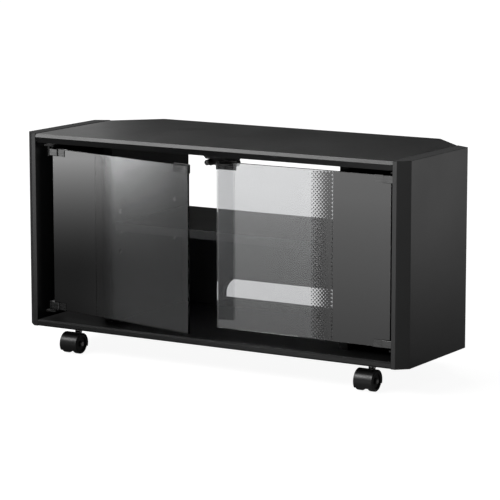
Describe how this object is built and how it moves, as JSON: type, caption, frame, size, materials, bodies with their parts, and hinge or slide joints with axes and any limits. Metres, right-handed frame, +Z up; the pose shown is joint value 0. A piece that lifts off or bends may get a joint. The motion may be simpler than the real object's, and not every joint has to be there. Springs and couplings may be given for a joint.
{
  "type": "corner media cabinet",
  "caption": "Low black corner media cabinet with inset smoked-glass doors, a shelf, an open back and swivelling twin-wheel casters.",
  "frame": {"origin": "on the floor under the middle of the full box, with the left door standing ajar", "axes": "+X to the right seen from the front, -Y out of the front, +Z up"},
  "size_m": [0.8, 0.3698, 0.4115],
  "materials": {
    "black_laminate": "black satin laminate on board",
    "smoked_glass": "smoked tempered glass with a printed hinge side",
    "black_steel": "satin black",
    "bright_steel": "plated",
    "black_plastic": "moulded",
    "gloss_plastic": "smooth moulded"
  },
  "bodies": {
    "carcass": {"top_board": "black_laminate", "bottom_board": "black_laminate", "left_side_panel": "black_laminate", "right_side_panel": "black_laminate", "left_partition": "black_laminate", "right_partition": "black_laminate", "left_corner_panel": "black_laminate", "right_corner_panel": "black_laminate", "left_rear_stile": "black_laminate", "right_rear_stile": "black_laminate", "lower_back_panel": "black_laminate", "shelf": "black_laminate", "shelf_pins": "bright_steel", "shelf_pin_sleeves": "bright_steel", "carcass_screws": "bright_steel", "left_hinge_brackets": "black_steel", "right_hinge_brackets": "black_steel", "left_hinge_pins": "black_steel", "right_hinge_pins": "black_steel", "bracket_screws": "black_steel", "latch_body": "black_plastic", "latch_screws": "black_steel", "caster_screws": "bright_steel", "front_left_caster_plate": "bright_steel", "front_right_caster_plate": "bright_steel", "rear_left_caster_plate": "bright_steel", "rear_right_caster_plate": "bright_steel"},
    "left_door": {"left_door_glass": "smoked_glass", "left_hinge_clamps": "black_steel", "left_clamp_screws": "black_steel", "left_strike_clip": "black_steel"},
    "right_door": {"right_door_glass": "smoked_glass", "right_hinge_clamps": "black_steel", "right_clamp_screws": "black_steel", "right_strike_clip": "black_steel"},
    "left_latch_plunger": {"left_plunger": "black_plastic", "left_plunger_magnet": "black_steel"},
    "right_latch_plunger": {"right_plunger": "black_plastic", "right_plunger_magnet": "black_steel"},
    "front_left_caster_swivel": {"front_left_caster_hood": "gloss_plastic", "front_left_caster_axle": "bright_steel"},
    "front_left_left_wheel": {"front_left_caster_left_wheel": "black_plastic"},
    "front_left_right_wheel": {"front_left_caster_right_wheel": "black_plastic"},
    "front_right_caster_swivel": {"front_right_caster_hood": "gloss_plastic", "front_right_caster_axle": "bright_steel"},
    "front_right_left_wheel": {"front_right_caster_left_wheel": "black_plastic"},
    "front_right_right_wheel": {"front_right_caster_right_wheel": "black_plastic"},
    "rear_left_caster_swivel": {"rear_left_caster_hood": "gloss_plastic", "rear_left_caster_axle": "bright_steel"},
    "rear_left_left_wheel": {"rear_left_caster_left_wheel": "black_plastic"},
    "rear_left_right_wheel": {"rear_left_caster_right_wheel": "black_plastic"},
    "rear_right_caster_swivel": {"rear_right_caster_hood": "gloss_plastic", "rear_right_caster_axle": "bright_steel"},
    "rear_right_left_wheel": {"rear_right_caster_left_wheel": "black_plastic"},
    "rear_right_right_wheel": {"rear_right_caster_right_wheel": "black_plastic"}
  },
  "joints": [
    {"name": "left_door_hinge", "type": "hinge", "parent": "carcass", "child": "left_door", "pos_m": [-0.3575, -0.1041, 0.23], "axis": [0, 0, -1], "range_deg": [-12.5, 82.5]},
    {"name": "right_door_hinge", "type": "hinge", "parent": "carcass", "child": "right_door", "pos_m": [0.3575, -0.1041, 0.23], "axis": [0, 0, 1], "range_deg": [0, 95]},
    {"name": "left_latch_push", "type": "slide", "parent": "carcass", "child": "left_latch_plunger", "axis": [0, 1, 0], "range_m": [0, 0.008], "stiffness_N_per_m": 60},
    {"name": "right_latch_push", "type": "slide", "parent": "carcass", "child": "right_latch_plunger", "axis": [0, 1, 0], "range_m": [0, 0.008], "stiffness_N_per_m": 60},
    {"name": "front_left_caster_swivel_turn", "type": "hinge", "parent": "carcass", "child": "front_left_caster_swivel", "pos_m": [-0.312, -0.0916, 0.04], "axis": [0, 0, 1], "continuous": true},
    {"name": "front_left_left_wheel_spin", "type": "hinge", "parent": "front_left_caster_swivel", "child": "front_left_left_wheel", "pos_m": [-0.32425, -0.1076, 0.0185], "axis": [1, 0, 0], "continuous": true},
    {"name": "front_left_right_wheel_spin", "type": "hinge", "parent": "front_left_caster_swivel", "child": "front_left_right_wheel", "pos_m": [-0.29975, -0.1076, 0.0185], "axis": [1, 0, 0], "continuous": true},
    {"name": "front_right_caster_swivel_turn", "type": "hinge", "parent": "carcass", "child": "front_right_caster_swivel", "pos_m": [0.312, -0.0916, 0.04], "axis": [0, 0, 1], "continuous": true},
    {"name": "front_right_left_wheel_spin", "type": "hinge", "parent": "front_right_caster_swivel", "child": "front_right_left_wheel", "pos_m": [0.29975, -0.1076, 0.0185], "axis": [1, 0, 0], "continuous": true},
    {"name": "front_right_right_wheel_spin", "type": "hinge", "parent": "front_right_caster_swivel", "child": "front_right_right_wheel", "pos_m": [0.32425, -0.1076, 0.0185], "axis": [1, 0, 0], "continuous": true},
    {"name": "rear_left_caster_swivel_turn", "type": "hinge", "parent": "carcass", "child": "rear_left_caster_swivel", "pos_m": [-0.255, 0.1384, 0.04], "axis": [0, 0, 1], "continuous": true},
    {"name": "rear_left_left_wheel_spin", "type": "hinge", "parent": "rear_left_caster_swivel", "child": "rear_left_left_wheel", "pos_m": [-0.26725, 0.1224, 0.0185], "axis": [1, 0, 0], "continuous": true},
    {"name": "rear_left_right_wheel_spin", "type": "hinge", "parent": "rear_left_caster_swivel", "child": "rear_left_right_wheel", "pos_m": [-0.24275, 0.1224, 0.0185], "axis": [1, 0, 0], "continuous": true},
    {"name": "rear_right_caster_swivel_turn", "type": "hinge", "parent": "carcass", "child": "rear_right_caster_swivel", "pos_m": [0.255, 0.1384, 0.04], "axis": [0, 0, 1], "continuous": true},
    {"name": "rear_right_left_wheel_spin", "type": "hinge", "parent": "rear_right_caster_swivel", "child": "rear_right_left_wheel", "pos_m": [0.24275, 0.1224, 0.0185], "axis": [1, 0, 0], "continuous": true},
    {"name": "rear_right_right_wheel_spin", "type": "hinge", "parent": "rear_right_caster_swivel", "child": "rear_right_right_wheel", "pos_m": [0.26725, 0.1224, 0.0185], "axis": [1, 0, 0], "continuous": true}
  ]
}
